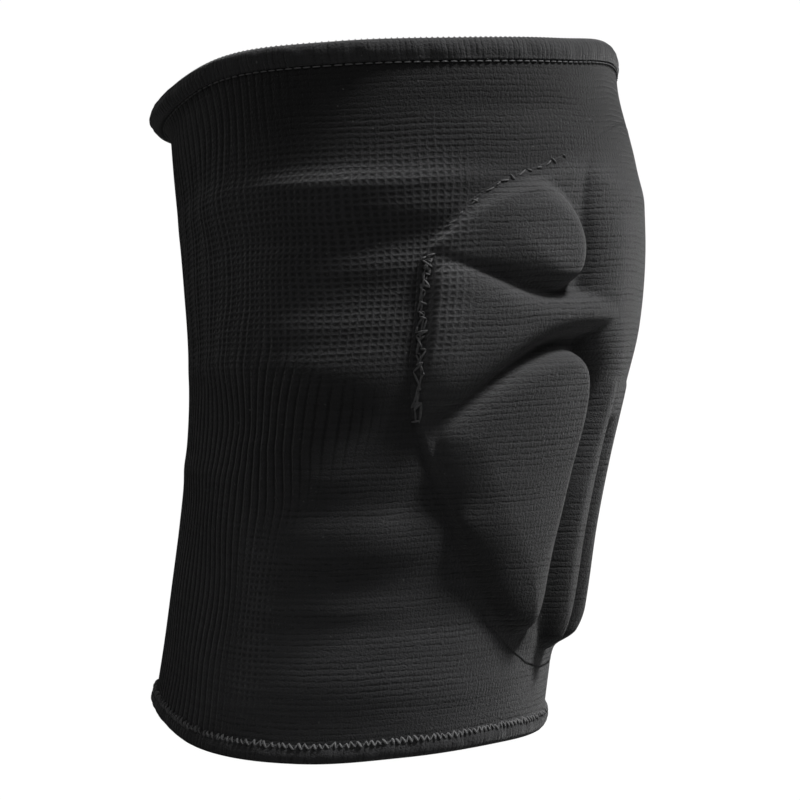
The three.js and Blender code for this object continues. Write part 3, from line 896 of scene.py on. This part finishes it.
def build_sleeve(sizes, colours):
    """The knitted sleeve, with its ribs and open cells as attributes."""
    points, places, angle, share = sleeve_surface(sizes)
    # Painted light and shade: the sleeve's cloth is lightened towards its bottom rim and darkened near its
    # top rim
    material = shared_material(
        "sleeve_cloth", knit_material, colours.knit, COURSE, WALE, rib_pitch(sizes) / MM, KNIT_DEPTH,
        fade=SLEEVE_RIM_SHADE)
    fields = {"ribs": rib_share(angle, share), "cells": waffle_share(angle, share)}
    faces = ring_faces(*angle.shape)
    piece = add_piece("sleeve_knit", points, faces, ring_corners(places), material, fields)
    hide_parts("sleeve")


def build_cover(sizes, colours):
    """The cover as a closed shell over an open grid, whose columns run from the cover's bottom edge to
    its top edge. The inside lies one wall under the outside, or just on the sleeve."""
    around = np.linspace(-COVER_SIDE, COVER_SIDE, COVER_COLUMNS)
    angle, part = np.meshgrid(around, np.linspace(0, 1, COVER_ROWS))
    bottom, top = cover_edges(angle)
    share = bottom + (top - bottom) * part
    outside = cover_lift(sizes, angle, share)
    inside = np.maximum(outside - sizes.cover_wall, sizes.wall + LIP_INSIDE)
    points = np.concatenate([skin(sizes, angle, share, lift).reshape(-1, 3) for lift in (outside, inside)])
    front = grid_faces(*angle.shape)
    index = np.arange(angle.size).reshape(angle.shape)
    rim = np.concatenate([index[0, :-1], index[:-1, -1], index[-1, :0:-1], index[:0:-1, 0]])
    after = np.roll(rim, -1)
    walls = np.stack([rim, after, after + angle.size, rim + angle.size], axis=-1)
    faces = np.concatenate([front, front[:, ::-1] + angle.size, walls])
    place = both_sides(knit_place(sizes, angle, share), 2)
    fields = {"ribs": rib_share(angle, share), "cells": waffle_share(angle, share),
              "join": cover_blend(sizes, angle, share)}
    # Painted light and shade: the cover's cloth is darkened towards its bottom and lightened near its top
    # rim, and towards its edges takes on the sleeve's
    material = shared_material(
        "cover_cloth", knit_material, colours.cover, COURSE, WALE, rib_pitch(sizes) / MM, KNIT_DEPTH,
        fade=COVER_RIM_SHADE, edge=(colours.knit, SLEEVE_RIM_SHADE))
    piece = add_piece("front_cover_knit", points, faces, place[faces], material,
                      {key: both_sides(values) for key, values in fields.items()})
    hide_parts("front_cover")


def build_pad(sizes, colours, name, field, low, high):
    """A foam pad between two angles: every grid cell where the foam is thick enough, with its top under
    the cover, its flat back on the sleeve, and walls along the cells' open sides."""
    angle, share = np.meshgrid(np.linspace(low, high, int((high - low) / PAD_STEP) + 1), PAD_SHARES)
    floor = sizes.wall + GAP
    room = cover_lift(sizes, angle, share) - sizes.cover_wall - PAD_ROOM - floor
    height = np.minimum(read_field(field, angle, share), room)
    count = angle.size
    front = grid_faces(*angle.shape)
    front = front[(height.ravel()[front] > PAD_THIN).all(axis=1)]
    edges = np.concatenate([front[:, [k, (k + 1) % 4]] for k in range(4)])
    code, back_code = edges[:, 0] * count + edges[:, 1], edges[:, 1] * count + edges[:, 0]
    start, end = edges[~np.isin(code, back_code)].T
    walls = np.stack([end, start, start + count, end + count], axis=-1)
    faces = np.concatenate([front, front[:, ::-1] + count, walls])
    lifts = (floor + height, np.full_like(height, floor))
    points = np.concatenate([skin(sizes, angle, share, lift).reshape(-1, 3) for lift in lifts])
    place = both_sides(knit_place(sizes, angle, share), 2)
    used, faces = np.unique(faces, return_inverse=True)
    faces = faces.reshape(-1, 4)
    material = shared_material("pad_foam", foam_material, colours.foam)
    piece = add_piece(name + "_foam", points[used], faces, place[used][faces], material)
    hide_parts(name)


# Hems


def hem_profile(sizes, height):
    """The hem's section as lifts and depths from the rim: up its outside, over the roll and down its
    inside, then round the slot that the sleeve's end sits in. The roll is a superellipse, and towards its
    stitched edge the outside closes onto the sleeve."""
    slot_out, slot_in = sizes.wall + GAP, -GAP
    middle = (slot_out + slot_in) / 2
    half = slot_out + HEM_WALL - middle
    depth = height * (1 - np.cos(np.linspace(0, math.pi / 2, HEM_STEPS))) ** 0.9
    roll = np.clip(1 - depth / HEM_ROLL, 0, 1)
    thick = half * (1 - roll ** HEM_POWER) ** (1 / HEM_POWER)
    closing = smooth_step(0.45, 1, depth / height)
    outside = thick - HEM_CLOSE_OUT * closing ** 1.3
    inside = thick - HEM_CLOSE_IN * closing
    lifts = [middle + outside[::-1], middle - inside[1:], [slot_in, slot_in, slot_out, slot_out]]
    depths = [depth[::-1], depth[1:], [height, HEM_SEAT, HEM_SEAT, height]]
    return np.concatenate(lifts), np.concatenate(depths)


def hem_outside(sizes, height, depth):
    """Lift of a hem's outside at depths from its rim."""
    lifts, depths = (values[:HEM_STEPS][::-1] for values in hem_profile(sizes, height))
    return np.interp(depth, depths, lifts)


def build_hem(sizes, colours, name, node, height, from_top):
    """A hem as a ring of its section, with shallow tucks across it where the knit is gathered. At the
    back the top hem's outside stands out as a lip."""
    lifts, depths = hem_profile(sizes, height)
    angles = both_ways(np.linspace(0, 180, HEM_HALF_COLUMNS))
    angle, lift = np.meshgrid(np.append(angles, 180.0), lifts)
    depth = np.broadcast_to(depths[:, None], angle.shape)
    tuck = sum(high * np.sin(np.radians(angle * waves + phase)) for high, waves, phase in TUCKS)
    open_side = (np.arange(len(lifts)) < len(lifts) - 4)[:, None]
    swell = np.sin(math.pi * np.clip(depth / height, 0, 1)) * np.sign(lift - sizes.wall / 2)
    lift = lift + MM * tuck * open_side * swell
    share = depth / sizes.length
    if from_top:
        lip = smooth_step(118, 160, np.abs(angle)) * smooth_step(0.2, 0.85, depth / height)
        lift = lift + HEM_LIP * lip * (lift > sizes.wall + GAP + 0.1 * MM)
        share = 1 - share
    points = skin(sizes, angle[:, :-1], share[:, :-1], lift[:, :-1])
    around = angle * degree_arc(sizes) / MM
    steps = np.hypot(np.diff(lifts, prepend=lifts[0]), np.diff(depths, prepend=depths[0]))
    places = np.stack([(np.cumsum(steps) / MM)[:, None] + 0 * around, around], axis=-1)
    material = shared_material(
        "hem_cloth", knit_material, colours.hem, HEM_COURSE, HEM_WALE, HEM_RIB, HEM_KNIT_DEPTH, zoned=False)
    faces = ring_faces(*points.shape[:2])
    piece = add_piece(name, points, faces, ring_corners(places), material)
    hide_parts(node)


# Stitches


def outward(sizes, angle, share, lift):
    """Directions straight out of the knit: the way from each point to the one a little higher."""
    away = skin(sizes, angle, share, lift + MM) - skin(sizes, angle, share, lift)
    return away / np.linalg.norm(away, axis=-1, keepdims=True)


def thread_surface(starts, ends, ups, rise, radius):
    """Stitches as short closed tubes: each centre runs straight from start to end and bows up by rise
    times the sine of half a turn, and its radius narrows at both ends as the square root of 1 - (2t -
    1)^4."""
    count = len(starts)
    rise, radius = (np.broadcast_to(value, (count,))[:, None, None] for value in (rise, radius))
    t = np.linspace(0.02, 0.98, THREAD_RINGS)[None, :, None]
    chord = (ends - starts)[:, None]
    up = ups[:, None]
    centre = starts[:, None] + chord * t + up * rise * np.sin(math.pi * t)
    ahead = chord + up * rise * math.pi * np.cos(math.pi * t)
    ahead /= np.linalg.norm(ahead, axis=-1, keepdims=True)
    side = np.cross(ahead, np.broadcast_to(up, ahead.shape))
    side /= np.linalg.norm(side, axis=-1, keepdims=True)
    over = np.cross(side, ahead)
    around = np.arange(THREAD_SIDES) / THREAD_SIDES * 2 * math.pi
    width = (radius * np.sqrt(1 - (2 * t - 1) ** 4))[..., None]
    ring = side[:, :, None] * np.cos(around)[:, None] + over[:, :, None] * np.sin(around)[:, None]
    points = (centre[:, :, None] + width * ring).reshape(-1, 3)
    ring_index, step = np.meshgrid(np.arange(THREAD_RINGS - 1), np.arange(THREAD_SIDES), indexing="ij")
    first = ring_index * THREAD_SIDES + step
    after = ring_index * THREAD_SIDES + (step + 1) % THREAD_SIDES
    tube = np.stack([first, after, after + THREAD_SIDES, first + THREAD_SIDES], axis=-1).reshape(-1, 4)
    last = (THREAD_RINGS - 1) * THREAD_SIDES
    first_cap = [[3, 2, 1, 0], [5, 4, 3, 0]]
    last_cap = last + np.array([[0, 1, 2, 3], [0, 3, 4, 5]])
    one = np.concatenate([tube, first_cap, last_cap])
    faces = (one[None] + np.arange(count)[:, None, None] * THREAD_RINGS * THREAD_SIDES).reshape(-1, 4)
    length = np.linalg.norm(chord, axis=-1)[..., None] / MM
    along, turn = np.broadcast_arrays(length * t, np.arange(THREAD_SIDES)[None, None] / THREAD_SIDES)
    return points, faces, np.stack([along, turn], axis=-1).reshape(-1, 2)


def build_threads(colours, name, runs):
    """One piece from runs of stitches, each a start, an end and an up direction for every stitch, with
    the stitch's rise and the thread's radius."""
    made = [thread_surface(*run) for run in runs]
    shifts = np.cumsum([0] + [len(points) for points, _, _ in made[:-1]])
    points = np.concatenate([run[0] for run in made])
    faces = np.concatenate([run[1] + shift for run, shift in zip(made, shifts)])
    places = np.concatenate([run[2] for run in made])
    material = shared_material("stitch_thread", thread_material, colours.thread)
    add_piece(name, points, faces, places[faces], material)


def across_knit(sizes, start, end, lift_of, rise, radius):
    """A run of stitches between arrays of angles and shares, lying on the lift there."""
    starts, ends = (skin(sizes, angle, share, lift_of(angle, share)) for angle, share in (start, end))
    middle = [(start[k] + end[k]) / 2 for k in (0, 1)]
    return starts, ends, outward(sizes, *middle, lift_of(*middle)), rise, radius


def build_top_stitches(sizes, colours):
    """The seam under the top hem, and the edging stitches that go over its rim with a slight lean."""

    def on_seam(angle, share):
        return sizes.wall + 0.22 * MM + 0 * angle

    step = 360 / TOP_STITCHES
    start = np.arange(TOP_STITCHES) * step - 180
    level = 1 - (sizes.hem_top + 0.45 * MM) / sizes.length + 0 * start
    running = across_knit(sizes, (start, level), (start + step * 0.8, level), on_seam, 0.22 * MM, 0.2 * MM)
    turn = np.arange(RIM_STITCHES) * (360 / RIM_STITCHES) - 180
    lean, outer, inner = 0.45, 1.5 * MM, 1.2 * MM
    starts = skin(sizes, turn, 1 - outer / sizes.length, hem_outside(sizes, sizes.hem_top, outer) - 0.15 * MM)
    ends = skin(sizes, turn + lean, 1 - inner / sizes.length, -1.0 * MM)
    ups = np.broadcast_to([0.0, 0.0, 1.0], starts.shape)
    build_threads(colours, "top_hem_stitches", [running, (starts, ends, ups, 1.50 * MM, 0.20 * MM)])


def build_bottom_stitches(sizes, colours):
    """Overlock round the bottom hem: uneven slanting stitches from its rolled edge up to the sleeve and
    back."""

    def on_hem(angle, share):
        hem = hem_outside(sizes, sizes.hem_bottom, share * sizes.length)
        return np.where(share < sizes.hem_bottom / sizes.length, hem, sizes.wall)

    count = OVERLOCK_STITCHES
    step = 360 / count
    random = np.random.default_rng(5)
    start = np.arange(count) * step - 180
    low = (sizes.hem_bottom + random.uniform(-1.3, -0.8, count) * MM) / sizes.length
    high = (sizes.hem_bottom + random.uniform(0.3, 0.9, count) * MM) / sizes.length
    turned = (start + step * random.uniform(0.2, 0.9, count), high)
    wrap = across_knit(sizes, (start, low), turned, on_hem, 0.5 * MM, random.uniform(0.22, 0.42, count) * MM)
    back = across_knit(sizes, turned, (start + step, np.roll(low, -1)), on_hem, 0.15 * MM,
                       random.uniform(0.08, 0.24, count) * MM)
    build_threads(colours, "bottom_hem_stitches", [wrap, back])


def along_line(line, places):
    """Angles and shares at places from 0 to 1 along a line of points."""
    line = np.asarray(line, float)
    steps = np.diff(line * LINE_SCALE, axis=0)
    lengths = np.concatenate([[0], np.cumsum(np.linalg.norm(steps, axis=1))])
    return tuple(np.interp(places * lengths[-1], lengths, line[:, k]) for k in (0, 1))


def build_seam_stitches(sizes, colours, name, sign, seed):
    """The tacks along the cover's side seam, loose and uneven and closer towards its top, and the short
    stitches along its top edge."""

    def on_knit(angle, share):
        return outer_lift(sizes, angle, share) + 0.05 * MM

    random = np.random.default_rng(seed)
    runs = []
    for width, count, radius in SEAM_THREADS:
        places = np.clip((np.arange(count + 1) + random.uniform(-0.9, 0.9, count + 1)) / count, 0, 1) ** 1.3
        angle, share = along_line(SIDE_SEAM, places)
        angle = sign * (angle + width * random.uniform(-1.2, 1.2, count + 1))
        share = share + random.uniform(-0.006, 0.006, count + 1)
        runs.append(across_knit(sizes, (angle[:-1], share[:-1]), (angle[1:], share[1:]), on_knit,
                                random.uniform(0.3, 0.9, count) * MM, radius * MM))
    middle = (np.arange(TACKS) + random.uniform(-0.45, 0.45, TACKS)) / (TACKS - 1)
    angle, share = along_line(TOP_TACKS, np.clip(middle, 0, 1))
    half_angle, half_share = random.uniform(0.5, 1.1, TACKS), random.uniform(-0.005, 0.006, TACKS)
    runs.append(across_knit(sizes, (sign * (angle - half_angle), share - half_share),
                            (sign * (angle + half_angle), share + half_share), on_knit, 0.22 * MM, 0.19 * MM))
    build_threads(colours, name, runs)


# The studio


def aim(thing, target):
    """Turn a light or camera so that it looks at a target."""
    thing.rotation_euler = (target - thing.location).to_track_quat("-Z", "Y").to_euler()


def backdrop_surface(floor_height, reach=1.6, bend=0.5, rise=1.8):
    """A floor that bends up into a wall all round: at each angle a straight run, a quarter circle and a
    straight wall, turned round the object."""
    run = np.linspace(0.0, reach, 12)
    arc = np.linspace(0, math.pi / 2, 16)[1:]
    out = np.concatenate([run, reach + bend * np.sin(arc), [reach + bend]])[:, None]
    up = np.concatenate([0 * run, bend * (1 - np.cos(arc)), [rise]])[:, None]
    turn = np.linspace(0, 2 * math.pi, 97)[:-1]
    return np.stack([out * np.cos(turn), out * np.sin(turn), floor_height + up + 0 * turn], axis=-1)


def studio_white():
    """Diffuse paint, seen by the camera as an even pale glow."""
    material, net = new_material("studio_white")
    paint = net.node("ShaderNodeBsdfDiffuse")
    paint.inputs["Color"].default_value = (0.15, 0.15, 0.15, 1)
    glow = net.node("ShaderNodeEmission")
    glow.inputs["Color"].default_value = (1, 1, 1, 1)
    glow.inputs["Strength"].default_value = 1.09
    seen = net.node("ShaderNodeLightPath").outputs["Is Camera Ray"]
    blend = net.node("ShaderNodeMixShader")
    for index, value in enumerate((net.times(seen, 0.92), paint.outputs[0], glow.outputs[0])):
        net.feed(blend.inputs[index], value)
    net.feed(net.node("ShaderNodeOutputMaterial").inputs["Surface"], blend.outputs[0])
    return material


def build_stage(stage):
    """Pale floor and wall, soft lights from above and from both sides, and the camera at the photograph's
    angle."""
    scene = bpy.context.scene
    low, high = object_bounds()
    centre = (low + high) / 2
    points = backdrop_surface(low[2] - FLOOR_DROP)
    rows, columns = points.shape[:2]
    faces = ring_faces(rows, columns)[:(rows - 1) * columns]
    mesh = bpy.data.meshes.new("studio_floor")
    mesh.from_pydata(points.reshape(-1, 3), [], faces[:, ::-1])
    mesh.polygons.foreach_set("use_smooth", np.ones(len(faces), bool))
    mesh.materials.append(studio_white())
    add_object("studio_floor", mesh)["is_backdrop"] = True
    world = bpy.data.worlds.new("studio")
    world.use_nodes = True
    sky = Net(world.node_tree)
    surround = sky.node("ShaderNodeBackground")
    surround.inputs["Color"].default_value = (1, 1, 1, 1)
    surround.inputs["Strength"].default_value = stage.fill
    sky.feed(sky.node("ShaderNodeOutputWorld").inputs["Surface"], surround.outputs[0])
    scene.world = world
    for name, place, size, power in LAMPS:
        data = bpy.data.lights.new(name, "AREA")
        data.shape = "DISK"
        data.size = size
        data.energy = stage.key * power
        lamp = add_object(name, data)
        lamp.location = place
        aim(lamp, centre)
    data = bpy.data.cameras.new("photo_camera")
    data.sensor_width = 36
    data.lens = stage.lens
    data.clip_start = 0.01
    camera = add_object("photo_camera", data)
    camera.location = (
        -stage.distance * math.sin(stage.azimuth), -stage.distance * math.cos(stage.azimuth), stage.height)
    aim(camera, Vector((0, 0, stage.height)))
    scene.camera = camera
    scene.view_settings.view_transform = "Standard"


# Operators


class KNEEPAD_OT_sleeve(bpy.types.Operator):
    """Build the knitted sleeve"""

    bl_idname = "kneepad.sleeve"
    bl_label = "Sleeve"
    bl_options = {"REGISTER", "UNDO"}

    def execute(self, context):
        build_sleeve(*user_choices(context))
        return {"FINISHED"}


class KNEEPAD_OT_cover(bpy.types.Operator):
    """Build the padded front cover"""

    bl_idname = "kneepad.cover"
    bl_label = "Front Cover"
    bl_options = {"REGISTER", "UNDO"}

    def execute(self, context):
        build_cover(*user_choices(context))
        return {"FINISHED"}


class KNEEPAD_OT_pads(bpy.types.Operator):
    """Build the foam pads under the cover"""

    bl_idname = "kneepad.pads"
    bl_label = "Foam Pads"
    bl_options = {"REGISTER", "UNDO"}

    def execute(self, context):
        sizes, colours = user_choices(context)
        fields = foam_fields(sizes)
        build_pad(sizes, colours, "kneecap_pad", fields["kneecap_pad"], -73, 73)
        for name, _ in SIDE_LOBES:
            build_pad(sizes, colours, name + "_right", fields[name], 14, 73)
            build_pad(sizes, colours, name + "_left", fields[name], -73, -14)
        return {"FINISHED"}


class KNEEPAD_OT_hems(bpy.types.Operator):
    """Build the rolled hems"""

    bl_idname = "kneepad.hems"
    bl_label = "Hems"
    bl_options = {"REGISTER", "UNDO"}

    def execute(self, context):
        sizes, colours = user_choices(context)
        build_hem(sizes, colours, "top_hem_welt", "top_hem", sizes.hem_top, True)
        build_hem(sizes, colours, "bottom_hem_band", "bottom_hem", sizes.hem_bottom, False)
        return {"FINISHED"}


class KNEEPAD_OT_stitches(bpy.types.Operator):
    """Build the stitches of the hems and the cover's seams"""

    bl_idname = "kneepad.stitches"
    bl_label = "Stitches"
    bl_options = {"REGISTER", "UNDO"}

    def execute(self, context):
        sizes, colours = user_choices(context)
        build_top_stitches(sizes, colours)
        build_bottom_stitches(sizes, colours)
        build_seam_stitches(sizes, colours, "seam_stitches_right", 1, 3)
        build_seam_stitches(sizes, colours, "seam_stitches_left", -1, 5)
        return {"FINISHED"}


class KNEEPAD_OT_stage(bpy.types.Operator):
    """Build the floor, the lights and the camera"""

    bl_idname = "kneepad.stage"
    bl_label = "Studio"
    bl_options = {"REGISTER", "UNDO"}

    def execute(self, context):
        build_stage(context.scene.knee_pad_stage)
        return {"FINISHED"}


OPERATORS = (
    KNEEPAD_OT_sleeve, KNEEPAD_OT_cover, KNEEPAD_OT_pads, KNEEPAD_OT_hems, KNEEPAD_OT_stitches,
    KNEEPAD_OT_stage)
GROUPS = {
    "knee_pad_sizes": KneePadSizes, "knee_pad_colours": KneePadColours, "knee_pad_stage": KneePadStage}


class KNEEPAD_PT_panel(bpy.types.Panel):
    """The knee pad's operators, sizes and colours"""

    bl_label = "Knee Pad"
    bl_idname = "KNEEPAD_PT_panel"
    bl_space_type = "VIEW_3D"
    bl_region_type = "UI"
    bl_category = "Knee Pad"

    def draw(self, context):
        layout = self.layout
        for operator in OPERATORS:
            layout.operator(operator.bl_idname)
        for key in GROUPS:
            group = getattr(context.scene, key)
            box = layout.box()
            for name in group.__annotations__:
                box.prop(group, name)


CLASSES = (*GROUPS.values(), *OPERATORS, KNEEPAD_PT_panel)


def register():
    for item in CLASSES:
        bpy.utils.register_class(item)
    for key, group in GROUPS.items():
        setattr(bpy.types.Scene, key, bpy.props.PointerProperty(type=group))


def unregister():
    for key in GROUPS:
        delattr(bpy.types.Scene, key)
    for item in reversed(CLASSES):
        bpy.utils.unregister_class(item)


def main():
    """Register the add-on and build every piece."""
    register()
    for operator in OPERATORS:
        group, name = operator.bl_idname.split(".")
        getattr(getattr(bpy.ops, group), name)()


if __name__ == "__main__":
    main()
